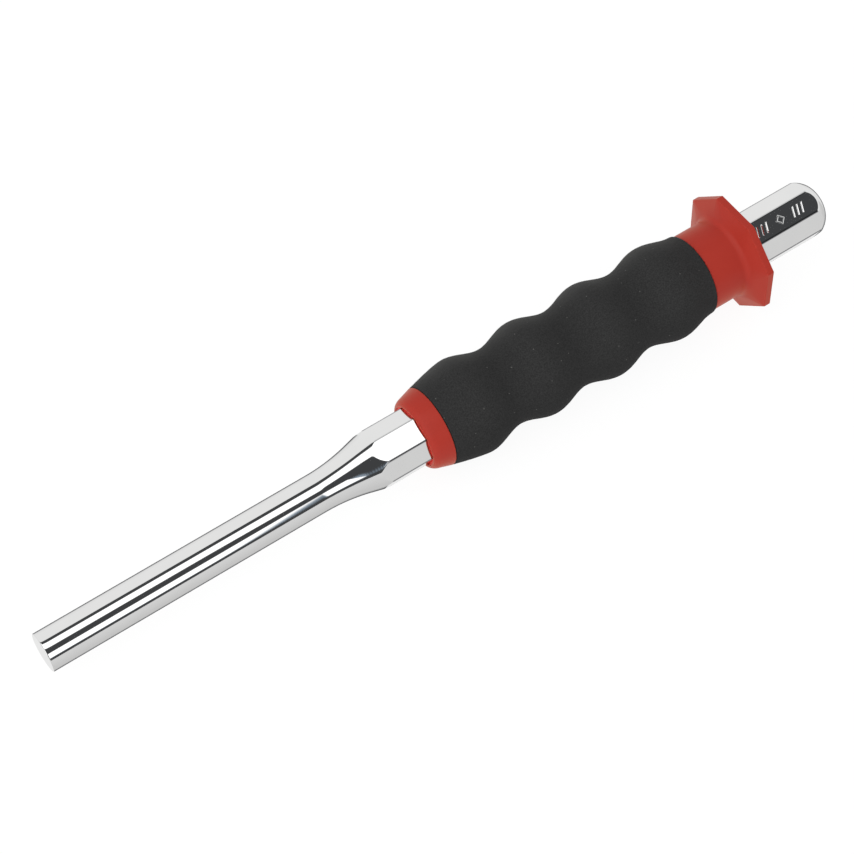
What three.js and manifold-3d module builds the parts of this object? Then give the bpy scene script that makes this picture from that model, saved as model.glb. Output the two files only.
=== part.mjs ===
// Sheathed parallel pin punch, in millimetres.
// A turned steel pin stands on an octagonal bar. The bar is held in a moulded sleeve with a
// hand guard at its rear end, and the sleeve carries a foam grip with four waves.
// Frame: the tool's axis is +X, from the flat working tip at the origin to the struck head.
// +Z is up, and one flat of the guard faces straight down.
import * as THREE from 'three';
import { mergeVertices } from 'three/addons/utils/BufferGeometryUtils.js';
import Module from 'manifold-3d';

// Steel bar: pin, turned taper, octagonal shank and domed head.
const PIN_DIAMETER = 10;
const PIN_LENGTH = 74.5;
const TIP_CHAMFER = 0.25;
const TAPER_ANGLE = 13.3; // degrees
const TAPER_FILLET_RADIUS = 50;
const BAR_ACROSS_FLATS = 14.44;
const BAR_TURN = 2.2; // degrees, from a corner pointing straight to the side
const BAR_LENGTH = 227.8;
const HEAD_DOME_LENGTH = 9.1;
const HEAD_DOME_RADIUS = 8.2;
const HEAD_DOME_EXPONENT = 2.68;

// Moulded sleeve: front collar, tube inside the grip, neck and octagonal guard.
const BORE_RADIUS = 8;
const COLLAR_FRONT = 102.8;
const COLLAR_FRONT_RADIUS = 9.15;
const COLLAR_EDGE_LENGTH = 1.5;
const COLLAR_EDGE_FALL = 0.9;
const COLLAR_REAR_RADIUS = 10.62;
const TUBE_RADIUS = 9.3;
const NECK_RADIUS = 10.5;
const GUARD_FILLET_START = 196;
const GUARD_FILLET_RADIUS = 1.8;
const GUARD_FILLET_TURN = 65; // degrees, how far the fillet turns before the leaning face
const GUARD_FRONT = 199.2;
const GUARD_THICKNESS = 2;
const GUARD_ACROSS_FLATS = 30.3;
const GUARD_RIM_EDGE = 0.25;

// Foam grip: a long first flank, then a wave of equal pitch that ends a little above the neck.
const GRIP_FRONT = 108;
const GRIP_REAR = 187.4;
const FIRST_FLANK = 10.25;
const FLANK_EXPONENT = 1.35;
const WAVE_PITCH = 19.67;
const CREST_RADIUS = 12.75;
const VALLEY_RADIUS = 10.5;
const GRIP_REAR_RADIUS = 10.95;
const GRIP_GAP = 0.1;

// How finely the round shapes are cut into facets.
const SEGMENTS = 48;
const ARC_STEPS = 6;
const DOME_STEPS = 10;
const FLANK_STEPS = 5;
const WAVE_STEPS = 36;

const OCTAGON_SIDES = 8;
const CUT_MARGIN = 1;

const radians = THREE.MathUtils.degToRad;
const gripCrest = GRIP_FRONT + FIRST_FLANK;
const lastCrest = gripCrest + 3 * WAVE_PITCH;
const barCorner = circumradius(BAR_ACROSS_FLATS);

const wasm = await Module();
wasm.setup();

// Distance from the centre to a corner of an octagon, from its size across flats.
function circumradius(acrossFlats) {
  return acrossFlats / 2 / Math.cos(Math.PI / OCTAGON_SIDES);
}

// A turned solid about +X. Each profile point is [position along the axis, radius].
function turned(profile) {
  const points = profile.map(([along, radius]) => new THREE.Vector2(radius, along));
  const geometry = new THREE.LatheGeometry(points, SEGMENTS);
  geometry.rotateZ(-Math.PI / 2);
  return geometry;
}

// An octagonal prism about +X, from one position to another, turned by an angle in degrees.
function octagonalPrism(acrossFlats, turn, from, to) {
  const corner = circumradius(acrossFlats);
  const outline = [];
  for (let side = 0; side < OCTAGON_SIDES; side += 1) {
    const angle = radians(turn) + (2 * Math.PI * side) / OCTAGON_SIDES;
    outline.push(new THREE.Vector2(corner * Math.cos(angle), corner * Math.sin(angle)));
  }
  const geometry = new THREE.ExtrudeGeometry(new THREE.Shape(outline), {
    depth: to - from,
    bevelEnabled: false,
  });
  geometry.translate(0, 0, from);
  geometry.rotateY(Math.PI / 2);
  return geometry;
}

// The geometry as a manifold solid, with the vertices that faces share merged.
function solidOf(geometry) {
  const bare = geometry.index ? geometry.toNonIndexed() : geometry.clone();
  bare.deleteAttribute('normal');
  bare.deleteAttribute('uv');
  const merged = mergeVertices(bare, 1e-4);
  return new wasm.Manifold(new wasm.Mesh({
    numProp: 3,
    vertProperties: new Float32Array(merged.attributes.position.array),
    triVerts: new Uint32Array(merged.index.array),
  }));
}

// The part of one geometry that lies inside another.
function common(first, second) {
  const result = solidOf(first).intersect(solidOf(second)).getMesh();
  const geometry = new THREE.BufferGeometry();
  geometry.setAttribute('position', new THREE.BufferAttribute(result.vertProperties, 3));
  geometry.setIndex(new THREE.BufferAttribute(result.triVerts, 1));
  geometry.computeVertexNormals();
  return geometry;
}

// The profile points of the taper: a concave arc that leaves the pin along its side, then a
// straight cone that runs out past the octagon's corners.
function taperProfile() {
  const pinRadius = PIN_DIAMETER / 2;
  const points = [];
  for (let step = 0; step <= ARC_STEPS; step += 1) {
    const angle = (radians(TAPER_ANGLE) * step) / ARC_STEPS;
    const along = PIN_LENGTH + TAPER_FILLET_RADIUS * Math.sin(angle);
    const radius = pinRadius + TAPER_FILLET_RADIUS * (1 - Math.cos(angle));
    points.push([along, radius]);
  }
  const [arcEnd, arcEndRadius] = points[points.length - 1];
  const outerRadius = barCorner + CUT_MARGIN;
  points.push([arcEnd + (outerRadius - arcEndRadius) / Math.tan(radians(TAPER_ANGLE)), outerRadius]);
  return points;
}

// The profile points of the head: a rounded dome that trims the octagon's corners first.
function headProfile() {
  const domeStart = BAR_LENGTH - HEAD_DOME_LENGTH;
  const points = [[domeStart, barCorner + CUT_MARGIN]];
  for (let step = 0; step < DOME_STEPS; step += 1) {
    const share = Math.sin((Math.PI / 2) * (step / DOME_STEPS));
    const fall = (1 - share ** HEAD_DOME_EXPONENT) ** (1 / HEAD_DOME_EXPONENT);
    points.push([domeStart + HEAD_DOME_LENGTH * share, HEAD_DOME_RADIUS * fall]);
  }
  points.push([BAR_LENGTH, 0]);
  return points;
}

// The steel bar: a turned blank cut down to an octagon.
function punchBar() {
  const pinRadius = PIN_DIAMETER / 2;
  const blank = turned([
    [0, 0],
    [0, pinRadius - TIP_CHAMFER],
    [TIP_CHAMFER, pinRadius],
    ...taperProfile(),
    ...headProfile(),
  ]);
  const stock = octagonalPrism(BAR_ACROSS_FLATS, BAR_TURN, -CUT_MARGIN, BAR_LENGTH + CUT_MARGIN);
  return common(blank, stock);
}

// One closed skin over rows of points round the axis. The last row joins on to the first.
function skin(rows) {
  const index = [];
  for (let from = 0; from < rows.length; from += 1) {
    const to = (from + 1) % rows.length;
    for (let here = 0; here < SEGMENTS; here += 1) {
      const after = (here + 1) % SEGMENTS;
      const [a, b] = [from * SEGMENTS + here, from * SEGMENTS + after];
      const [c, d] = [to * SEGMENTS + after, to * SEGMENTS + here];
      index.push(a, b, c, a, c, d);
    }
  }
  const geometry = new THREE.BufferGeometry();
  geometry.setFromPoints(rows.flat());
  geometry.setIndex(index);
  geometry.computeVertexNormals();
  return geometry;
}

// A row of points at a position along the axis. The radius is a function of the angle.
function row(along, radiusAt) {
  const points = [];
  for (let step = 0; step < SEGMENTS; step += 1) {
    const angle = (2 * Math.PI * step) / SEGMENTS;
    const radius = radiusAt(angle);
    points.push(new THREE.Vector3(along, radius * Math.cos(angle), radius * Math.sin(angle)));
  }
  return points;
}

function circle(radius) {
  return () => radius;
}

// The outline of an octagon with a flat facing straight down.
function octagon(acrossFlats) {
  const side = (2 * Math.PI) / OCTAGON_SIDES;
  return (angle) => acrossFlats / 2 / Math.cos(angle - side * Math.round(angle / side));
}

// The rows of the collar: a cone whose radius falls away softly towards the front plane.
function collarRows() {
  const rows = [];
  for (let step = 0; step < ARC_STEPS; step += 1) {
    const share = 1 - Math.cos((Math.PI / 2) * (step / (ARC_STEPS - 1)));
    const along = COLLAR_FRONT + COLLAR_EDGE_LENGTH * share;
    const coneShare = (along - COLLAR_FRONT) / (GRIP_FRONT - COLLAR_FRONT);
    const cone = COLLAR_FRONT_RADIUS + (COLLAR_REAR_RADIUS - COLLAR_FRONT_RADIUS) * coneShare;
    const fall = COLLAR_EDGE_FALL * (1 - Math.sqrt(1 - (1 - share) ** 2));
    rows.push(row(along, circle(cone - fall)));
  }
  return rows;
}

// The rows of the fillet that leads from the neck into the guard's leaning front face.
function guardFilletRows() {
  const rows = [];
  for (let step = 0; step <= ARC_STEPS; step += 1) {
    const angle = (radians(GUARD_FILLET_TURN) * step) / ARC_STEPS;
    const along = GUARD_FILLET_START + GUARD_FILLET_RADIUS * Math.sin(angle);
    const radius = NECK_RADIUS + GUARD_FILLET_RADIUS * (1 - Math.cos(angle));
    rows.push(row(along, circle(radius)));
  }
  return rows;
}

// The sleeve: one moulding that runs from the collar through the tube to the guard's rim.
function handleSleeve() {
  const guardRear = GUARD_FRONT + GUARD_THICKNESS;
  const rim = octagon(GUARD_ACROSS_FLATS);
  const rimFace = octagon(GUARD_ACROSS_FLATS - 2 * GUARD_RIM_EDGE);
  return skin([
    row(COLLAR_FRONT, circle(BORE_RADIUS)),
    ...collarRows(),
    row(GRIP_FRONT, circle(COLLAR_REAR_RADIUS)),
    row(GRIP_FRONT, circle(TUBE_RADIUS)),
    row(GRIP_REAR, circle(TUBE_RADIUS)),
    row(GRIP_REAR, circle(NECK_RADIUS)),
    ...guardFilletRows(),
    row(GUARD_FRONT, rimFace),
    row(GUARD_FRONT + GUARD_RIM_EDGE, rim),
    row(guardRear - GUARD_RIM_EDGE, rim),
    row(guardRear, rimFace),
    row(guardRear, circle(BORE_RADIUS)),
  ]);
}

// The grip's outer radius at a position along the axis.
function gripRadius(along) {
  if (along < gripCrest) {
    const share = (gripCrest - along) / FIRST_FLANK;
    return CREST_RADIUS - (CREST_RADIUS - COLLAR_REAR_RADIUS) * share ** FLANK_EXPONENT;
  }
  const turn = (2 * Math.PI * (along - gripCrest)) / WAVE_PITCH;
  const valley = along < lastCrest ? VALLEY_RADIUS : GRIP_REAR_RADIUS;
  const swing = (CREST_RADIUS - valley) / 2;
  return valley + swing + swing * Math.cos(turn);
}

// The foam grip: a waved ring that fills the space between the collar and the neck.
function foamGrip() {
  const front = GRIP_FRONT + GRIP_GAP;
  const rear = GRIP_REAR - GRIP_GAP;
  const inner = TUBE_RADIUS + GRIP_GAP;
  const profile = [[front, inner]];
  for (let step = 0; step < FLANK_STEPS; step += 1) {
    const along = front + ((gripCrest - front) * step) / FLANK_STEPS;
    profile.push([along, gripRadius(along)]);
  }
  for (let step = 0; step <= WAVE_STEPS; step += 1) {
    const along = gripCrest + ((rear - gripCrest) * step) / WAVE_STEPS;
    profile.push([along, gripRadius(along)]);
  }
  profile.push([rear, inner]);
  profile.push([front, inner]);
  return turned(profile);
}

// A named mesh with its own finish.
function piece(name, geometry, color, roughness, metalness) {
  const material = new THREE.MeshStandardMaterial({ color, roughness, metalness });
  const mesh = new THREE.Mesh(geometry, material);
  mesh.name = name;
  return mesh;
}

const punch = new THREE.Group();
punch.add(piece('punch_bar', punchBar(), 0xd9dadb, 0.08, 1));
punch.add(piece('handle_sleeve', handleSleeve(), 0xac392e, 0.4, 0));
punch.add(piece('foam_grip', foamGrip(), 0x323434, 0.95, 0));

export default punch;
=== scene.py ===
import math

import bmesh
import bpy
from mathutils import Matrix, Vector, noise


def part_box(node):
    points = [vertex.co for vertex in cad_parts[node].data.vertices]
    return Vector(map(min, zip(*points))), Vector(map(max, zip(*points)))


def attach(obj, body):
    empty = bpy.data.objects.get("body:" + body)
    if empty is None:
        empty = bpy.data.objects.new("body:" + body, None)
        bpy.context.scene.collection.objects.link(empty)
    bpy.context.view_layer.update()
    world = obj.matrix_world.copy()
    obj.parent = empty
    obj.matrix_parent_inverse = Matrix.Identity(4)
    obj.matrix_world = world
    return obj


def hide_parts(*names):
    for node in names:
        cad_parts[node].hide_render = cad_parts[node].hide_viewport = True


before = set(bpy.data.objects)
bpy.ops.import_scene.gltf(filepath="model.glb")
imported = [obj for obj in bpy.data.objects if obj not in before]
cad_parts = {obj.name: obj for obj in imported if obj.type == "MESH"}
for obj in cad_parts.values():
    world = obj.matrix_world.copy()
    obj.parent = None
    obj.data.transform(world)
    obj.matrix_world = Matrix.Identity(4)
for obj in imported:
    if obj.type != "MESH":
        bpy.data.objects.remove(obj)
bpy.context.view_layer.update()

# A sheathed parallel pin punch. The CAD frame gives the overall sizes and the ends of the
# sleeve and the grip. The values below give the finer shape. Everything is in metres, with
# the tool's axis along +X and the tip at the origin.
MM = 0.001
TAU = 2 * math.pi

_, bar_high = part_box("punch_bar")
sleeve_low, sleeve_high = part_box("handle_sleeve")
grip_low, grip_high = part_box("foam_grip")

# Steel bar.
PIN_RADIUS = 5 * MM
PIN_LENGTH = 74.5 * MM
TIP_EDGE = 0.25 * MM
TAPER_ANGLE = math.radians(14)
TAPER_FILLET = 50 * MM
TAPER_BLEND = 0.5 * MM
BAR_FLAT = 7.22 * MM
BAR_CORNER_ROUND = 0.45 * MM
BAR_TURN = math.radians(2.2)
BAR_END = bar_high.x
DOME_LENGTH = 9.1 * MM
DOME_RADIUS = 8.2 * MM
DOME_EXPONENT = 2.68

# Stamped mark on the bar, near the head.
MARK_MIDDLE = 212.9 * MM
MARK_GAP = 4.3 * MM
MARK_PITCH = 1.4 * MM
MARK_COUNT = 3
MARK_HEIGHT = 2.8 * MM
MARK_STROKE = 0.42 * MM
MARK_LEAN = 0.5 * MM
MARK_DEPTH = 0.12 * MM
MARK_SLANT = 0.16 * MM
MARK_NORMAL = BAR_TURN + math.pi * 5 / 8
DIAMOND_STROKE = MARK_STROKE * 0.7

# Moulded sleeve.
BORE_RADIUS = 8.0 * MM
BORE_EDGE = 0.25 * MM
LEAD_IN = 0.3 * MM
LEDGE_LENGTH = 2 * MM
LEDGE_CLEARANCE = 0.02 * MM
COLLAR_FRONT = sleeve_low.x
COLLAR_FRONT_RADIUS = 9.15 * MM
COLLAR_EDGE = 1.5 * MM
COLLAR_EDGE_FALL = 0.9 * MM
COLLAR_REAR_RADIUS = 10.62 * MM
STEP_EDGE = 0.2 * MM
TUBE_RADIUS = 9.3 * MM
NECK_RADIUS = 10.5 * MM
GUARD_FLAT = -sleeve_low.z
GUARD_REAR = sleeve_high.x
GUARD_RIM = 2.0 * MM
GUARD_RIM_EDGE = 0.25 * MM
GUARD_CORNER_ROUND = 0.35 * MM
GUARD_TURN = math.radians(22.5)
GUARD_FILLET_START = 196 * MM
GUARD_FILLET = 1.8 * MM
GUARD_FILLET_TURN = math.radians(65)

# Foam grip.
GRIP_GAP = 0.1 * MM
GRIP_FRONT = grip_low.x - GRIP_GAP
GRIP_REAR = grip_high.x + GRIP_GAP
FIRST_FLANK = 10.25 * MM
FLANK_EXPONENT = 1.35
CREST_RADIUS = grip_high.z
VALLEY_RADIUS = 10.5 * MM
GRIP_REAR_RADIUS = 10.95 * MM
GRIP_EDGE = 0.5 * MM
GRIP_CREST = GRIP_FRONT + FIRST_FLANK
WAVE_PITCH = 19.67 * MM
LAST_CREST = GRIP_CREST + 3 * WAVE_PITCH

# The foam's uneven skin: how far it stands in or out, and over what distance.
SKIN_COARSE = 0.05 * MM
SKIN_COARSE_SIZE = 6 * MM
SKIN_FINE = 0.025 * MM
SKIN_FINE_SIZE = 0.9 * MM


# ---------------------------------------------------------------- outlines and grids

# A narrow face at both ends of each flat keeps the flat's shading flat.
OUTLINE_HOLD = 0.06 * MM


def octagon_outline(flat, corner_round, turn, flat_steps, corner_steps=8):
    """A rounded octagon as (angle, radius) pairs, starting at the middle of a corner."""
    points = []
    half = math.pi / 8
    centre = (flat - corner_round) / math.cos(half)
    reach = centre * math.sin(half)
    hold = min(OUTLINE_HOLD, reach * 0.1)
    across = [-reach, -reach + hold]
    across += [-reach + 2 * reach * k / flat_steps for k in range(1, flat_steps)]
    across += [reach - hold, reach]
    for side in range(8):
        corner_at = turn + side * math.pi / 4
        cx, cy = centre * math.cos(corner_at), centre * math.sin(corner_at)
        for k in range(1, corner_steps):
            normal = corner_at + half * (2 * k / corner_steps - 1)
            points.append(
                (cx + corner_round * math.cos(normal), cy + corner_round * math.sin(normal))
            )
        normal = corner_at + half
        for along in across:
            points.append((
                flat * math.cos(normal) - along * math.sin(normal),
                flat * math.sin(normal) + along * math.cos(normal),
            ))
    polar = [(math.atan2(y, x), math.hypot(x, y)) for x, y in points]
    first = polar[0][0]
    return [(first + (angle - first) % TAU, radius) for angle, radius in polar]


def even_angles(outline):
    """As many angles as an outline has points, evenly spaced from its first."""
    count = len(outline)
    return [outline[0][0] + TAU * k / count for k in range(count)]


def octagon_radius(flat, turn, angle):
    """Radius of a sharp octagon at an angle."""
    eighth = math.pi / 4
    off_normal = (angle - turn) % eighth - eighth / 2
    return flat / math.cos(off_normal)


def grid_mesh(name, rows, closed=False):
    """A skin over rows of points. A row of one point is a pole on the axis."""
    mesh = bpy.data.meshes.new(name)
    bm = bmesh.new()
    rings = [[bm.verts.new(point) for point in row] for row in rows]
    pairs = list(zip(rings, rings[1:]))
    if closed:
        pairs.append((rings[-1], rings[0]))
    for here, there in pairs:
        count = max(len(here), len(there))
        for k in range(count):
            after = (k + 1) % count
            corners = [here[k % len(here)], here[after % len(here)]]
            corners += [there[after % len(there)], there[k % len(there)]]
            bm.faces.new(list(dict.fromkeys(corners)))
    bmesh.ops.recalc_face_normals(bm, faces=bm.faces)
    if bm.calc_volume(signed=True) < 0:
        bmesh.ops.reverse_faces(bm, faces=bm.faces)
    bm.to_mesh(mesh)
    bm.free()
    return mesh


def shade(mesh, sharp_angle):
    """Smooth shading, with edges above an angle in degrees kept crisp."""
    mesh.shade_smooth()
    mesh.set_sharp_from_angle(angle=math.radians(sharp_angle))


def ring(along, radii, angles):
    """One row of points at a place on the axis. Single values are repeated all round."""
    count = len(angles)
    xs = along if isinstance(along, list) else [along] * count
    rs = radii if isinstance(radii, list) else [radii] * count
    return [
        Vector((x, r * math.cos(a), r * math.sin(a))) for x, r, a in zip(xs, rs, angles)
    ]


def between(low, high, share):
    """The value at a share of the way from low to high."""
    return low + (high - low) * share


def arc(steps, start, end):
    """Angles in degrees from start to end, as (cosine, sine) pairs."""
    pairs = []
    for k in range(steps + 1):
        angle = math.radians(between(start, end, k / steps))
        pairs.append((math.cos(angle), math.sin(angle)))
    return pairs


# ---------------------------------------------------------------- steel bar


def dome_radius(along):
    """Radius of the turned head at a place on the axis."""
    share = (along - (BAR_END - DOME_LENGTH)) / DOME_LENGTH
    share = min(max(share, 0.0), 1.0)
    return DOME_RADIUS * (1 - share**DOME_EXPONENT) ** (1 / DOME_EXPONENT)


def dome_place(radius):
    """Where on the axis the turned head has a radius."""
    share = (1 - (radius / DOME_RADIUS) ** DOME_EXPONENT) ** (1 / DOME_EXPONENT)
    return BAR_END - DOME_LENGTH + DOME_LENGTH * share


def pin_rows(even):
    """The flat tip, its small round edge and the parallel pin."""
    rows = [[Vector((0, 0, 0))]]
    for share in (0.3, 0.6, 0.85, 0.99):
        rows.append(ring(0, (PIN_RADIUS - TIP_EDGE) * share, even))
    for c, s in arc(9, 180, 90):
        rows.append(ring(TIP_EDGE * (1 + c), PIN_RADIUS - TIP_EDGE * (1 - s), even))
    for share in (0.02, 0.25, 0.5, 0.75):
        rows.append(ring(PIN_LENGTH * share, PIN_RADIUS, even))
    return rows


def taper_rows(even, outline, meets):
    """The hollow start of the taper, its cone and the polished edge at the flats."""
    rows = []
    steps = 30
    for k in range(steps + 1):
        angle = TAPER_ANGLE * k / steps
        along = PIN_LENGTH + TAPER_FILLET * math.sin(angle)
        radius = PIN_RADIUS + TAPER_FILLET * (1 - math.cos(angle))
        rows.append(ring(along, radius, even))
    # The cone runs on until it nears the octagon, whose outline the rows turn to.
    angles = [a for a, _ in outline]
    radii = [r for _, r in outline]
    steps = 10
    for k in range(1, steps + 1):
        share = k / steps
        turned_to = [between(e, a, share) for e, a in zip(even, angles)]
        xs = [between(along, m - TAPER_BLEND * math.cos(TAPER_ANGLE), share) for m in meets]
        rs = [between(radius, r - TAPER_BLEND * math.sin(TAPER_ANGLE), share) for r in radii]
        rows.append(ring(xs, rs, turned_to))
    # The polished edge between the cone and the flats is a shallow arc.
    curve = TAPER_BLEND / math.tan(TAPER_ANGLE / 2)
    steps = 8
    for k in range(1, steps + 1):
        angle = TAPER_ANGLE * (1 - k / steps)
        xs = [m + TAPER_BLEND - curve * math.sin(angle) for m in meets]
        rs = [r - curve * (1 - math.cos(angle)) for r in radii]
        rows.append(ring(xs, rs, angles))
    return rows


def shank_rows(outline, meets):
    """The octagonal length, and the turned head that it runs into."""
    angles = [a for a, _ in outline]
    radii = [r for _, r in outline]
    leaves = [dome_place(r) for r in radii]
    rows = []
    steps = 10
    for k in range(1, steps + 1):
        share = k / steps
        xs = [between(m + TAPER_BLEND, e, share) for m, e in zip(meets, leaves)]
        rows.append(ring(xs, radii, angles))
    steps = 26
    for k in range(1, steps):
        share = math.sin(math.pi / 2 * k / steps)
        xs = [between(e, BAR_END, share) for e in leaves]
        rows.append(ring(xs, [dome_radius(x) for x in xs], angles))
    rows.append([Vector((BAR_END, 0, 0))])
    return rows


def bar_mesh():
    """The whole bar from the tip to the struck end, with its mark."""
    outline = octagon_outline(BAR_FLAT, BAR_CORNER_ROUND, BAR_TURN, flat_steps=14)
    even = even_angles(outline)
    cone_start = PIN_LENGTH + TAPER_FILLET * math.sin(TAPER_ANGLE)
    cone_radius = PIN_RADIUS + TAPER_FILLET * (1 - math.cos(TAPER_ANGLE))
    slope = math.tan(TAPER_ANGLE)
    meets = [cone_start + (r - cone_radius) / slope for _, r in outline]
    rows = pin_rows(even) + taper_rows(even, outline, meets) + shank_rows(outline, meets)
    return stamp(grid_mesh("punch_bar_blank", rows))


def on_mark(x, across, height):
    """A point over the marked flat: its place on the axis, across the flat and above it."""
    out = Vector((0, math.cos(MARK_NORMAL), math.sin(MARK_NORMAL)))
    side = Vector((0, -math.sin(MARK_NORMAL), math.cos(MARK_NORMAL)))
    return Vector((x, 0, 0)) + side * across + out * (BAR_FLAT + height)


def stroke_cutter(bm, x):
    """One slanted stroke of the mark, with sloping walls."""
    top_point = Vector((x - MARK_LEAN, MARK_HEIGHT / 2))
    foot = Vector((x + MARK_LEAN, -MARK_HEIGHT / 2))
    along = (top_point - foot).normalized()
    across = Vector((-along.y, along.x))
    layers = []
    for height in (MARK_DEPTH, -MARK_DEPTH):
        wider = MARK_SLANT * height / MARK_DEPTH
        half = across * (MARK_STROKE / 2 + wider)
        reach = along * wider
        loop = (
            foot - reach - half,
            foot - reach + half,
            top_point + reach + half,
            top_point + reach - half,
        )
        layers.append([bm.verts.new(on_mark(v.x, v.y, height)) for v in loop])
    top, bottom = layers
    bm.faces.new(top)
    bm.faces.new(bottom[::-1])
    for k in range(4):
        after = (k + 1) % 4
        bm.faces.new((top[after], top[k], bottom[k], bottom[after]))


def diamond_cutter(bm, x):
    """A diamond outline between the strokes, with sloping walls."""
    half = DIAMOND_STROKE
    reach = MARK_HEIGHT / 2 - half
    loops = (
        (reach + half + MARK_SLANT, MARK_DEPTH),
        (reach + half - MARK_SLANT, -MARK_DEPTH),
        (reach - half + MARK_SLANT, -MARK_DEPTH),
        (reach - half - MARK_SLANT, MARK_DEPTH),
    )
    rows = []
    for size, height in loops:
        corners = ((size, 0), (0, size), (-size, 0), (0, -size))
        rows.append([bm.verts.new(on_mark(x + a, b, height)) for a, b in corners])
    for k in range(4):
        row, other = rows[k], rows[(k + 1) % 4]
        for j in range(4):
            after = (j + 1) % 4
            bm.faces.new((row[j], row[after], other[after], other[j]))


def stamp(mesh):
    """Cuts a plain mark of slanted strokes and a diamond into one flat near the head."""
    cutter_mesh = bpy.data.meshes.new("mark")
    bm = bmesh.new()
    for side in (-1, 1):
        for k in range(MARK_COUNT):
            stroke_cutter(bm, MARK_MIDDLE + side * (MARK_GAP + k * MARK_PITCH))
    diamond_cutter(bm, MARK_MIDDLE)
    bmesh.ops.recalc_face_normals(bm, faces=bm.faces)
    bm.to_mesh(cutter_mesh)
    bm.free()
    cutter = bpy.data.objects.new("mark", cutter_mesh)
    blank = bpy.data.objects.new("blank", mesh)
    for item in (cutter, blank):
        bpy.context.scene.collection.objects.link(item)
    cut = blank.modifiers.new("mark", "BOOLEAN")
    cut.object = cutter
    cut.solver = "EXACT"
    shaped = blank.evaluated_get(bpy.context.evaluated_depsgraph_get())
    result = bpy.data.meshes.new_from_object(shaped)
    result.name = "punch_bar_fine"
    for item in (cutter, blank):
        bpy.data.objects.remove(item)
    bpy.data.meshes.remove(cutter_mesh)
    bpy.data.meshes.remove(mesh)
    return result


# ---------------------------------------------------------------- moulded sleeve


def collar_cone(along):
    """Radius of the collar's cone at a place on the axis."""
    share = (along - COLLAR_FRONT) / (GRIP_FRONT - COLLAR_FRONT)
    return between(COLLAR_FRONT_RADIUS, COLLAR_REAR_RADIUS, share)


def collar_rows(even):
    """The bore's front edge, the collar and its step down to the tube."""
    rows = []
    for c, s in arc(6, 270, 180):
        along = COLLAR_FRONT + BORE_EDGE * (1 + c)
        rows.append(ring(along, BORE_RADIUS + BORE_EDGE * (1 + s), even))
    # The collar is a cone whose radius falls away in a soft curve towards the front plane.
    steps = 16
    for k in range(steps + 1):
        share = 1 - math.cos(math.pi / 2 * k / steps)
        along = COLLAR_FRONT + COLLAR_EDGE * share
        fall = COLLAR_EDGE_FALL * (1 - math.sqrt(1 - (1 - share) ** 2))
        rows.append(ring(along, collar_cone(along) - fall, even))
    for c, s in arc(6, 90, 0):
        along = GRIP_FRONT - STEP_EDGE * (1 - c)
        rows.append(ring(along, COLLAR_REAR_RADIUS - STEP_EDGE * (1 - s), even))
    rows.append(ring(GRIP_FRONT, TUBE_RADIUS, even))
    return rows


def neck_rows(even):
    """The step up from the tube, the neck and its fillet."""
    rows = [ring(GRIP_REAR, TUBE_RADIUS, even)]
    for c, s in arc(6, 180, 90):
        along = GRIP_REAR + STEP_EDGE * (1 + c)
        rows.append(ring(along, NECK_RADIUS - STEP_EDGE * (1 - s), even))
    for share in (0.2, 0.5, 0.8):
        along = between(GRIP_REAR + STEP_EDGE, GUARD_FILLET_START, share)
        rows.append(ring(along, NECK_RADIUS, even))
    steps = 16
    for k in range(steps + 1):
        angle = GUARD_FILLET_TURN * k / steps
        along = GUARD_FILLET_START + GUARD_FILLET * math.sin(angle)
        rows.append(ring(along, NECK_RADIUS + GUARD_FILLET * (1 - math.cos(angle)), even))
    return rows


def guard_rows(even, outline):
    """A leaning face ruled out to the octagonal rim, the rim and the flat rear face."""
    angles = [a for a, _ in outline]
    radii = [r for _, r in outline]
    front = GUARD_REAR - GUARD_RIM
    fillet_end = GUARD_FILLET_START + GUARD_FILLET * math.sin(GUARD_FILLET_TURN)
    fillet_top = NECK_RADIUS + GUARD_FILLET * (1 - math.cos(GUARD_FILLET_TURN))
    rows = []
    steps = 12
    for k in range(1, steps + 1):
        share = k / steps
        turned_to = [between(e, a, share) for e, a in zip(even, angles)]
        rs = [between(fillet_top, r - GUARD_RIM_EDGE, share) for r in radii]
        rows.append(ring(between(fillet_end, front, share), rs, turned_to))
    for c, s in arc(8, 180, 90)[1:]:
        rs = [r - GUARD_RIM_EDGE * (1 - s) for r in radii]
        rows.append(ring(front + GUARD_RIM_EDGE * (1 + c), rs, angles))
    for c, s in arc(8, 90, 0):
        rs = [r - GUARD_RIM_EDGE * (1 - s) for r in radii]
        rows.append(ring(GUARD_REAR - GUARD_RIM_EDGE * (1 - c), rs, angles))
    for k in range(1, steps + 1):
        share = k / steps
        turned_to = [between(a, e, share) for e, a in zip(even, angles)]
        rs = [between(r - GUARD_RIM_EDGE, BORE_RADIUS + BORE_EDGE, share) for r in radii]
        rows.append(ring(GUARD_REAR, rs, turned_to))
    return rows


def bore_rows(even):
    """The bore from the rear. Behind a short lead-in it closes to the bar's octagon."""
    rows = []
    for c, s in arc(6, 0, -90)[1:]:
        along = GUARD_REAR - BORE_EDGE * (1 - c)
        rows.append(ring(along, BORE_RADIUS + BORE_EDGE * (1 + s), even))
    ledge = COLLAR_FRONT + BORE_EDGE + LEAD_IN
    for share in (0.1, 0.4, 0.7, 0.95, 1):
        along = between(GUARD_REAR - BORE_EDGE, ledge + LEDGE_LENGTH, share)
        rows.append(ring(along, BORE_RADIUS, even))
    fit_radii = [octagon_radius(BAR_FLAT + LEDGE_CLEARANCE, BAR_TURN, a) for a in even]
    rows.append(ring(ledge + LEDGE_LENGTH, fit_radii, even))
    rows.append(ring(ledge, fit_radii, even))
    return rows


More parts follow.
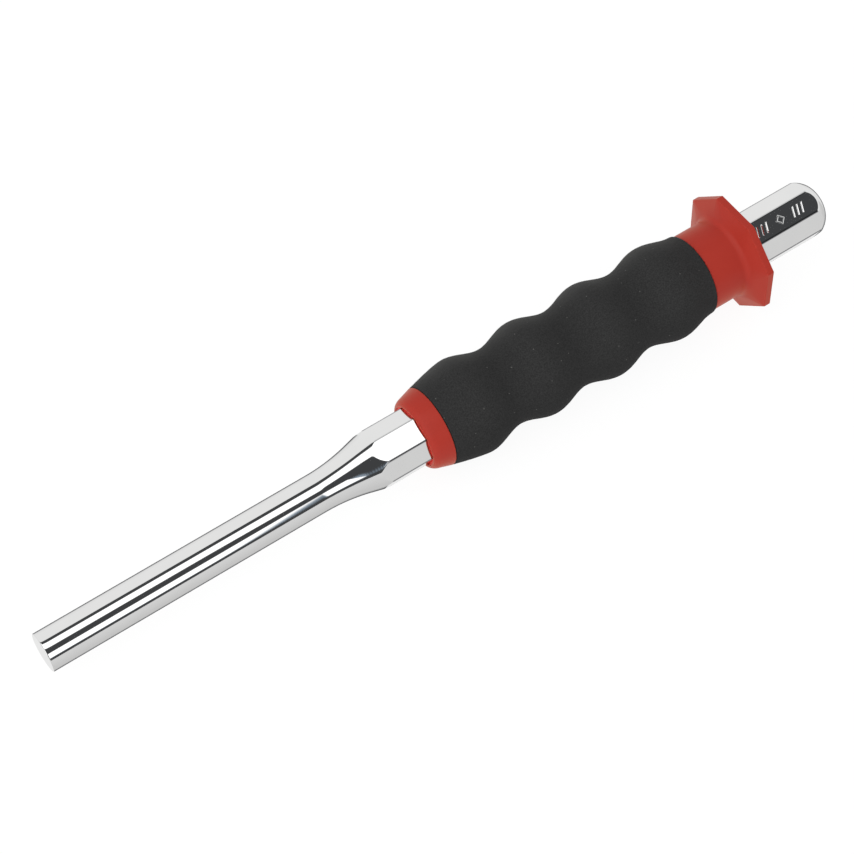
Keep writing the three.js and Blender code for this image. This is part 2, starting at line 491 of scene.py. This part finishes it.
def sleeve_mesh():
    """The moulding as one closed skin, from the bore's front edge round and back."""
    outline = octagon_outline(GUARD_FLAT, GUARD_CORNER_ROUND, GUARD_TURN, flat_steps=20)
    even = even_angles(outline)
    rows = collar_rows(even) + neck_rows(even) + guard_rows(even, outline) + bore_rows(even)
    return grid_mesh("handle_sleeve_fine", rows, closed=True)


# ---------------------------------------------------------------- foam grip


def grip_radius(along):
    """The grip's outer radius at a place on the axis."""
    if along < GRIP_CREST:
        share = (GRIP_CREST - along) / FIRST_FLANK
        return CREST_RADIUS - (CREST_RADIUS - COLLAR_REAR_RADIUS) * share**FLANK_EXPONENT
    valley = GRIP_REAR_RADIUS if along > LAST_CREST else VALLEY_RADIUS
    swing = (CREST_RADIUS - valley) / 2
    return valley + swing * (1 + math.cos(TAU * (along - GRIP_CREST) / WAVE_PITCH))


def grip_mesh():
    """The foam sleeve with its waves and its uneven skin."""
    count = 260
    angles = [TAU * k / count for k in range(count)]
    front = GRIP_FRONT + GRIP_GAP
    rear = GRIP_REAR - GRIP_GAP
    inner = TUBE_RADIUS + GRIP_GAP
    profile = [(front, inner)]
    front_top = grip_radius(front + GRIP_EDGE)
    for c, s in arc(6, 180, 90):
        profile.append((front + GRIP_EDGE * (1 + c), front_top - GRIP_EDGE * (1 - s)))
    steps = 250
    for k in range(1, steps):
        along = between(front + GRIP_EDGE, rear - GRIP_EDGE, k / steps)
        profile.append((along, grip_radius(along)))
    rear_top = grip_radius(rear - GRIP_EDGE)
    for c, s in arc(6, 90, 0):
        profile.append((rear - GRIP_EDGE * (1 - c), rear_top - GRIP_EDGE * (1 - s)))
    profile.append((rear, inner))
    rows = [ring(x, r, angles) for x, r in profile]
    for row in rows[1:-1]:
        for point in row:
            out = Vector((0, point.y, point.z)).normalized()
            coarse = noise.noise(point / SKIN_COARSE_SIZE) * SKIN_COARSE
            fine = noise.noise(point / SKIN_FINE_SIZE) * SKIN_FINE
            point += out * (coarse + fine)
    return grid_mesh("foam_grip_fine", rows, closed=True)


# ---------------------------------------------------------------- materials


class Nodes:
    """Short calls that add shader nodes and link them."""

    def __init__(self, owner):
        owner.use_nodes = True
        self.tree = owner.node_tree
        self.tree.nodes.clear()

    def add(self, kind, inputs=None, **settings):
        made = self.tree.nodes.new("ShaderNode" + kind)
        for key, value in settings.items():
            setattr(made, key, value)
        for key, value in (inputs or {}).items():
            if isinstance(value, bpy.types.NodeSocket):
                self.tree.links.new(value, made.inputs[key])
            else:
                made.inputs[key].default_value = value
        return made

    def math(self, operation, first, second=0.0):
        return self.add("Math", {0: first, 1: second}, operation=operation).outputs[0]

    def plus(self, first, second):
        return self.math("ADD", first, second)

    def times(self, *values):
        product = values[0]
        for value in values[1:]:
            product = self.math("MULTIPLY", product, value)
        return product

    def most(self, first, second):
        return self.math("MAXIMUM", first, second)

    def step(self, value, start, end):
        """Rises smoothly from 0 to 1 between two values. The first may be the higher one."""
        node = self.add(
            "MapRange",
            {"Value": value, "From Min": start, "From Max": end},
            interpolation_type="SMOOTHSTEP",
        )
        return node.outputs[0]

    def scale(self, value, start, end, low, high):
        """Turns the range from start to end into the range from low to high."""
        limits = {"From Min": start, "From Max": end, "To Min": low, "To Max": high}
        return self.add("MapRange", {"Value": value, **limits}).outputs[0]

    def axis_radius(self, xyz):
        """Distance from the tool's axis."""
        squares = self.plus(self.math("POWER", xyz[1], 2), self.math("POWER", xyz[2], 2))
        return self.math("SQRT", squares)

    def mix(self, share, first, second):
        node = self.add("Mix", data_type="RGBA")
        for index, value in ((0, share), (6, first), (7, second)):
            if isinstance(value, bpy.types.NodeSocket):
                self.tree.links.new(value, node.inputs[index])
            else:
                node.inputs[index].default_value = value
        return node.outputs[2]

    def noise(self, vector, scale, detail=2.0, roughness=0.5):
        node = self.add(
            "TexNoise",
            {"Vector": vector, "Scale": scale, "Detail": detail, "Roughness": roughness},
        )
        return node.outputs["Fac"]


def srgb(red, green, blue):
    """A display colour from 0 to 255 as a linear RGBA value."""
    linear = []
    for value in (red, green, blue):
        v = value / 255
        linear.append(v / 12.92 if v <= 0.04045 else ((v + 0.055) / 1.055) ** 2.4)
    return (*linear, 1.0)


# Where the painted shade on the steel's edges lies, each as the place where it starts and
# where it is full: on the pin and the taper, on the head, and where the radius reaches the
# octagon's corners.
PIN_STARTS = (0.05 * MM, 0.2 * MM)
TAPER_ENDS = (90.4 * MM, 90.0 * MM)
HEAD_STARTS = (222.5 * MM, 223.5 * MM)
CORNER_STARTS = (7.67 * MM, 7.73 * MM)
NEAR_SIDE = (-2 * MM, -4 * MM)
FAR_SIDE = (3 * MM, 5 * MM)
TURNING_STARTS = (85 * MM, 88 * MM)
TURNING_ENDS = (91.5 * MM, 90.5 * MM)
# How far a face has turned away from the viewer, from 0 to 1, where the painted shade on
# its edge starts and where it is full.
EDGE_FACING = (0.60, 0.82)
HEAD_EDGE_FACING = (0.66, 0.86)

STEEL_ROUGHNESS = (0.03, 0.075)
CLEAN_STEEL = (0.83, 0.83, 0.825, 1)
CLOUDED_STEEL = (0.79, 0.79, 0.785, 1)
# Painted shade: the darker colour painted on the corners between the flats.
PAINTED_CORNER_SHADE = (0.22, 0.22, 0.23, 1)
# Painted shade: the dark colour painted on the steel's edges that turn away.
PAINTED_EDGE_SHADE = (0.09, 0.09, 0.095, 1)


def steel_material():
    material = bpy.data.materials.new("polished_steel")
    n = Nodes(material)
    place = n.add("TexCoord").outputs["Object"]
    xyz = n.add("SeparateXYZ", {0: place}).outputs
    facing = n.add("LayerWeight", {"Blend": 0.5}).outputs["Facing"]
    # Painted shade: the edges that turn away are painted dark, for the dark surroundings that
    # polished steel reflects there, on the round parts and the corners only.
    pin = n.times(n.step(xyz[0], *TAPER_ENDS), n.step(xyz[0], *PIN_STARTS))
    corner = n.step(n.axis_radius(xyz), *CORNER_STARTS)
    head = n.step(xyz[0], *HEAD_STARTS)
    edge = n.times(n.step(facing, *EDGE_FACING), n.most(pin, corner))
    edge = n.most(edge, n.times(n.step(facing, *HEAD_EDGE_FACING), head))
    # Painted shade: the corners between the flats are painted darker than the flats, for dark
    # reflections, least of all the top one.
    tint = n.mix(n.noise(place, scale=180, detail=3), CLEAN_STEEL, CLOUDED_STEEL)
    sides = n.most(n.step(xyz[1], *NEAR_SIDE), n.step(xyz[1], *FAR_SIDE))
    amount = n.plus(n.times(sides, 0.5), 0.35)
    colour = n.mix(n.times(corner, amount), tint, PAINTED_CORNER_SHADE)
    smudge = n.noise(place, scale=260, detail=4, roughness=0.6)
    wave = n.noise(place, scale=90, detail=1)
    # Faint turning marks where the taper runs out.
    turning = n.add("TexWave", {"Vector": place, "Scale": 450, "Distortion": 1.5})
    run_out = n.times(n.step(xyz[0], *TURNING_STARTS), n.step(xyz[0], *TURNING_ENDS))
    marks = n.times(turning.outputs["Fac"], run_out, 0.4)
    height = n.plus(wave, marks)
    bump = n.add("Bump", {"Height": height, "Distance": 0.01 * MM, "Strength": 0.25})
    steel = n.add("BsdfPrincipled", {
        "Base Color": colour,
        "Metallic": 1.0,
        "Roughness": n.scale(smudge, 0.35, 0.75, *STEEL_ROUGHNESS),
        "Normal": bump.outputs[0],
    }).outputs[0]
    # Painted shade: a dark matt colour mixed in at the edges that turn away.
    painted_edge_shader = n.add("BsdfDiffuse", {"Color": PAINTED_EDGE_SHADE}).outputs[0]
    shader = n.add("MixShader", {0: edge, 1: steel, 2: painted_edge_shader})
    n.add("OutputMaterial", {"Surface": shader.outputs[0]})
    return material


# The plastic round the bore: where the painted highlight on the lip's edge and the painted
# light in the bore begin and end.
LIP_ENDS = (COLLAR_FRONT + 0.5 * MM, COLLAR_FRONT + 0.2 * MM)
LIP_OUTER = (8.5 * MM, 8.25 * MM)
LIP_INNER = (7.9 * MM, 8.0 * MM)
BORE_OUTER = (8.1 * MM, 7.95 * MM)
BORE_ENDS = (COLLAR_FRONT + 3 * MM, COLLAR_FRONT + 2 * MM)

PLASTIC_TONES = (srgb(167, 53, 42), srgb(163, 50, 40))
# Painted sheen where the plastic turns away from the viewer.
PAINTED_GRAZING_SHEEN = srgb(177, 71, 45)
# Painted highlight on the bore's front edge.
PAINTED_LIP_HIGHLIGHT = srgb(188, 100, 78)
# Painted light inside the bore, for light soaking through the lip.
PAINTED_BORE_LIGHT = srgb(236, 56, 44)


def plastic_material():
    material = bpy.data.materials.new("red_plastic")
    n = Nodes(material)
    place = n.add("TexCoord").outputs["Object"]
    xyz = n.add("SeparateXYZ", {0: place}).outputs
    radius = n.axis_radius(xyz)
    facing = n.add("LayerWeight", {"Blend": 0.5}).outputs["Facing"]
    base = n.mix(n.noise(place, scale=120, detail=3), *PLASTIC_TONES)
    # Painted sheen: paler and more orange where the surface turns away from the viewer.
    colour = n.mix(n.step(facing, 0.3, 0.95), base, PAINTED_GRAZING_SHEEN)
    # The bore's front edge is painted paler, a painted highlight. The bore is painted brighter,
    # painted light that stands in for light soaking through the lip.
    lip_highlight_mask = n.times(
        n.step(radius, *LIP_OUTER), n.step(xyz[0], *LIP_ENDS), n.step(radius, *LIP_INNER)
    )
    colour = n.mix(n.times(lip_highlight_mask, 0.7), colour, PAINTED_LIP_HIGHLIGHT)
    # Painted light: the bore is painted brighter.
    bore_light_mask = n.times(n.step(radius, *BORE_OUTER), n.step(xyz[0], *BORE_ENDS))
    colour = n.mix(bore_light_mask, colour, PAINTED_BORE_LIGHT)
    grain = n.noise(place, scale=2600, detail=3)
    bump = n.add("Bump", {"Height": grain, "Distance": 0.02 * MM, "Strength": 0.3})
    shader = n.add("BsdfPrincipled", {
        "Base Color": colour,
        "Roughness": 0.36,
        "Specular IOR Level": 0.1,
        "Normal": bump.outputs[0],
    })
    n.add("OutputMaterial", {"Surface": shader.outputs[0]})
    return material


# How far above the bottom of a valley the foam's colour is darker and its painted sheen weaker.
VALLEY_DEPTH = 1.7 * MM

FOAM_TONES = (srgb(37, 37, 37), srgb(50, 50, 50))
# Painted sheen on the nap's far side.
PAINTED_NAP_SHEEN = srgb(68, 68, 67)
SPECK_FOAM = srgb(84, 84, 82)
BLACK = (0, 0, 0, 1)


def foam_material():
    material = bpy.data.materials.new("black_foam")
    n = Nodes(material)
    place = n.add("TexCoord").outputs["Object"]
    xyz = n.add("SeparateXYZ", {0: place}).outputs
    cells = n.add("TexVoronoi", {"Vector": place, "Scale": 3200}).outputs["Distance"]
    grain = n.noise(place, scale=3000, detail=3, roughness=0.6)
    base = n.mix(n.step(grain, 0.3, 0.7), *FOAM_TONES)
    # Painted sheen on the nap's far side. The valleys are darker, and the underside is painted
    # darker as shade.
    facing = n.add("LayerWeight", {"Blend": 0.5}).outputs["Facing"]
    normal = n.add("SeparateXYZ", {0: n.add("NewGeometry").outputs["Normal"]}).outputs
    valley = n.step(n.axis_radius(xyz), VALLEY_RADIUS + VALLEY_DEPTH, VALLEY_RADIUS)
    out_of_valley = n.plus(n.times(valley, -0.4), 1)
    nap_sheen_mask = n.times(n.step(facing, 0.1, 1.0), n.step(normal[1], -0.1, 0.6), out_of_valley)
    base = n.mix(nap_sheen_mask, base, PAINTED_NAP_SHEEN)
    # Painted shade: the underside is painted darker. The valleys are darker too.
    underside_shade_mask = n.step(normal[2], 0.8, -0.2)
    valley_darkening_and_underside_shade = n.most(n.times(valley, 0.08), n.times(underside_shade_mask, 0.25))
    base = n.mix(valley_darkening_and_underside_shade, base, BLACK)
    # Pale specks, one in the middle of each large cell.
    speck = n.add("TexVoronoi", {"Vector": place, "Scale": 420}).outputs["Distance"]
    colour = n.mix(n.step(speck, 0.09, 0.04), base, SPECK_FOAM)
    height = n.plus(grain, n.times(cells, 0.6))
    bump = n.add("Bump", {"Height": height, "Distance": 0.08 * MM, "Strength": 0.5})
    shader = n.add("BsdfPrincipled", {
        "Base Color": colour,
        "Roughness": 0.92,
        "Specular IOR Level": 0.25,
        "Normal": bump.outputs[0],
    })
    n.add("OutputMaterial", {"Surface": shader.outputs[0]})
    return material


# ---------------------------------------------------------------- pieces


# Edges that turn by more than this many degrees stay crisp.
BAR_SHARP = 10.5
MOULDED_SHARP = 40


def place_piece(mesh, node, material, sharp_angle):
    """Shows a fine mesh in place of a CAD node."""
    shade(mesh, sharp_angle)
    piece = bpy.data.objects.new(mesh.name, mesh)
    bpy.context.scene.collection.objects.link(piece)
    mesh.materials.append(material)
    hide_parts(node)
    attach(piece, "root")


place_piece(bar_mesh(), "punch_bar", steel_material(), BAR_SHARP)
place_piece(sleeve_mesh(), "handle_sleeve", plastic_material(), MOULDED_SHARP)
place_piece(grip_mesh(), "foam_grip", foam_material(), MOULDED_SHARP)


# ---------------------------------------------------------------- studio

DEGREES = 180 / math.pi
FLOOR_HALF = 3.0
FLOOR_COLOUR = (0.93, 0.93, 0.93, 1)
FLOOR_GLOW = 1.03
FLOOR_GLOW_SHARE = 0.9
# The floor's level as the steel sees it, between two angles round the tool's axis, and how
# much it rises between two more. The angles are measured as in the studio below.
FLOOR_LEVEL_AT = (3, 63)
FLOOR_LEVEL = (0.785, 0.67)
FLOOR_RISE_AT = (85, 115)
FLOOR_RISE = 0.22


def floor():
    """A pale floor that touches the guard's lowest flat and the grip's first crest."""
    guard_foot = Vector((GUARD_REAR - GUARD_RIM, 0, sleeve_low.z))
    crest_foot = Vector((GRIP_CREST, 0, grip_low.z))
    tilt = math.atan2(crest_foot.z - guard_foot.z, guard_foot.x - crest_foot.x)
    mesh = bpy.data.meshes.new("floor")
    corners = [(-1, -1), (1, -1), (1, 1), (-1, 1)]
    mesh.from_pydata([(x * FLOOR_HALF, y * FLOOR_HALF, 0) for x, y in corners], [], [(0, 1, 2, 3)])
    plane = bpy.data.objects.new("floor", mesh)
    plane.location = guard_foot
    plane.rotation_euler = (0, tilt, 0)
    bpy.context.scene.collection.objects.link(plane)
    mesh.materials.append(floor_material())


def floor_material():
    material = bpy.data.materials.new("floor")
    n = Nodes(material)
    # The camera sees it mostly by its own glow, with a faint contact shadow left. The polished
    # steel sees it a little darker towards the foreground.
    matt = n.add("BsdfDiffuse", {"Color": FLOOR_COLOUR}).outputs[0]
    glow = n.add("Emission", {"Strength": FLOOR_GLOW}).outputs[0]
    plain = n.add("MixShader", {0: FLOOR_GLOW_SHARE, 1: matt, 2: glow}).outputs[0]
    back = n.add("SeparateXYZ", {0: n.add("NewGeometry").outputs["Incoming"]}).outputs
    about = n.times(n.math("ARCTAN2", back[2], back[1]), DEGREES)
    near = n.scale(about, *FLOOR_LEVEL_AT, *FLOOR_LEVEL)
    far = n.times(n.step(about, *FLOOR_RISE_AT), FLOOR_RISE)
    seen = n.add("Emission", {"Strength": n.plus(near, far)}).outputs[0]
    glossy = n.add("LightPath").outputs["Is Glossy Ray"]
    shader = n.add("MixShader", {0: glossy, 1: plain, 2: seen})
    n.add("OutputMaterial", {"Surface": shader.outputs[0]})
    return material


# The studio as a function of direction. About is the angle round the tool's axis, from +Y up
# over +Z, and lean is the angle towards +X, both in degrees. A dark lid hangs over the tool
# with two softboxes in it, and the walls are pale grey. A sloping edge is given as its angle
# where lean is 0, and how far it moves for each degree of lean.
LID_START = (64.5, 0.28)
LID_END = 182.0
LID_LEAN = (-50, 50)
FAR_BOX_START = (79.3, 0.5)
FAR_BOX_END = (108.6, 0.37)
FAR_BOX_LEAN = (-45, 21)
FAR_BOX_WIDENS = (11, 14.5)
FAR_BOX_WIDENING = 4
NEAR_BOX = (140.2, 165.6)
# The near softbox's other two edges: the lean where about is 0, and how far it moves.
NEAR_BOX_LOW = (45.0, -0.325)
NEAR_BOX_HIGH = (27.2, -0.09)
# A glow round the near softbox: where it rises and falls in about and in lean, and how far it
# reaches beyond the box's low and high edges.
GLOW_RISE = (138, 153)
GLOW_FALL = (171, 160)
GLOW_LEAN_RISE = (-12.3, -8)
GLOW_BELOW = (-8, -1)
GLOW_ABOVE = 2.5
PANEL_ABOUT = (80, 160)
PANEL_LEAN = (-76, -60)
WALL_RISE = (-50, 12)
END_WALL_STARTS = (-48, -52)
WALL_COLOUR = (0.935, 0.935, 0.935, 1)
DIM_WALL_COLOUR = (0.62, 0.62, 0.63, 1)
END_WALL_COLOUR = (0.5, 0.5, 0.5, 1)
LID_COLOUR = (0.058, 0.06, 0.063, 1)
SOFTBOX_COLOUR = (1.6, 1.6, 1.6, 1)
GLOW_COLOUR = (0.29, 0.36, 0.44, 1)
PANEL_COLOUR = (2.5, 2.5, 2.5, 1)
WHITE = (1, 1, 1, 1)
DOME_LEVEL = 0.62
KEY_AXIS = Vector((-0.65, -0.26, 0.71))
KEY_LEVEL = 1.65
KEY_SPREAD = (0.6, 1.0)


def line(n, value, edge):
    """An edge's angle at a lean, or its lean at an angle."""
    return n.plus(n.times(value, edge[1]), edge[0])


def shifted(n, edge, offset):
    """An edge moved by a number of degrees. It is a number or a node's output."""
    if isinstance(edge, bpy.types.NodeSocket):
        return n.plus(edge, offset)
    return edge + offset


def window(n, value, low, high, soft):
    """1 between two edges and 0 outside them. Each edge fades over soft degrees both ways."""
    rise = n.step(value, shifted(n, low, -soft), shifted(n, low, soft))
    fall = n.step(value, shifted(n, high, soft), shifted(n, high, -soft))
    return n.times(rise, fall)


def mirrored_room(n, lean, about):
    """What polished steel reflects."""
    # The end wall beyond the tip is darker, with one narrow panel of light on it.
    colour = n.mix(n.step(about, *WALL_RISE), DIM_WALL_COLOUR, WALL_COLOUR)
    colour = n.mix(n.step(lean, *END_WALL_STARTS), colour, END_WALL_COLOUR)
    panel = n.times(window(n, lean, *PANEL_LEAN, 3), window(n, about, *PANEL_ABOUT, 10))
    colour = n.mix(panel, colour, PANEL_COLOUR)
    lid = n.times(
        window(n, about, line(n, lean, LID_START), LID_END, 1.0),
        window(n, lean, *LID_LEAN, 3),
    )
    colour = n.mix(lid, colour, LID_COLOUR)
    # A faint blue glow lies round the near softbox and fades away beyond its ends.
    low = line(n, about, NEAR_BOX_LOW)
    high = line(n, about, NEAR_BOX_HIGH)
    glow = n.times(
        n.step(about, *GLOW_RISE),
        n.step(about, *GLOW_FALL),
        n.step(lean, shifted(n, low, GLOW_BELOW[0]), shifted(n, low, GLOW_BELOW[1])),
        n.step(lean, *GLOW_LEAN_RISE),
        n.step(lean, shifted(n, high, GLOW_ABOVE), high),
    )
    colour = n.mix(glow, colour, GLOW_COLOUR)
    # The far softbox is a little wider towards the head.
    widening = n.times(n.step(lean, *FAR_BOX_WIDENS), FAR_BOX_WIDENING)
    far_start = line(n, lean, FAR_BOX_START)
    far_end = n.plus(line(n, lean, FAR_BOX_END), widening)
    across = window(n, about, far_start, far_end, 2.0)
    far_box = n.times(across, window(n, lean, *FAR_BOX_LEAN, 2))
    colour = n.mix(far_box, colour, SOFTBOX_COLOUR)
    near_box = n.times(window(n, about, *NEAR_BOX, 1.8), window(n, lean, low, high, 0.8))
    return n.mix(near_box, colour, SOFTBOX_COLOUR)


def soft_dome(n, direction):
    """What matt surfaces see: a plain dome with one broad soft light, up beyond the tip."""
    towards = n.add("VectorMath", {0: direction, 1: KEY_AXIS}, operation="DOT_PRODUCT")
    key = n.step(towards.outputs["Value"], *KEY_SPREAD)
    level = n.plus(n.times(key, KEY_LEVEL), DOME_LEVEL)
    return n.add("CombineColor", {0: level, 1: level, 2: level}).outputs[0]


def studio():
    world = bpy.data.worlds.new("studio")
    bpy.context.scene.world = world
    n = Nodes(world)
    direction = n.add("TexCoord").outputs["Generated"]
    xyz = n.add("SeparateXYZ", {0: direction}).outputs
    lean = n.times(n.math("ARCSINE", xyz[0]), DEGREES)
    about = n.times(n.math("ARCTAN2", xyz[2], xyz[1]), DEGREES)
    path = n.add("LightPath").outputs
    colour = mirrored_room(n, lean, about)
    colour = n.mix(path["Is Diffuse Ray"], colour, soft_dome(n, direction))
    # Seen directly, the room is as pale as the floor.
    colour = n.mix(path["Is Camera Ray"], colour, WHITE)
    shader = n.add("Background", {"Color": colour, "Strength": 1.0})
    n.add("OutputWorld", {"Surface": shader.outputs[0]})
    world.cycles.sampling_method = "NONE"


# The camera looks at a point on the tool's axis.
CAMERA_AIM = Vector((106.888, 0.346, 0.205)) * MM
CAMERA_AZIMUTH = math.radians(-31.740)
CAMERA_ELEVATION = math.radians(55.099)
CAMERA_ROLL = math.radians(-3.344)
CAMERA_DISTANCE = 589.995 * MM
CAMERA_LENS = 102.854


def camera():
    data = bpy.data.cameras.new("camera")
    data.lens = CAMERA_LENS
    data.sensor_width = 36
    data.clip_start = 0.01
    item = bpy.data.objects.new("camera", data)
    flat = math.cos(CAMERA_ELEVATION)
    back = Vector((
        math.sin(CAMERA_AZIMUTH) * flat,
        -math.cos(CAMERA_AZIMUTH) * flat,
        math.sin(CAMERA_ELEVATION),
    ))
    turn = (-back).to_track_quat("-Z", "Y").to_matrix() @ Matrix.Rotation(CAMERA_ROLL, 3, "Z")
    item.matrix_world = Matrix.Translation(CAMERA_AIM + back * CAMERA_DISTANCE) @ turn.to_4x4()
    bpy.context.scene.collection.objects.link(item)
    bpy.context.scene.camera = item


floor()
studio()
camera()
bpy.context.scene.view_settings.view_transform = "Standard"
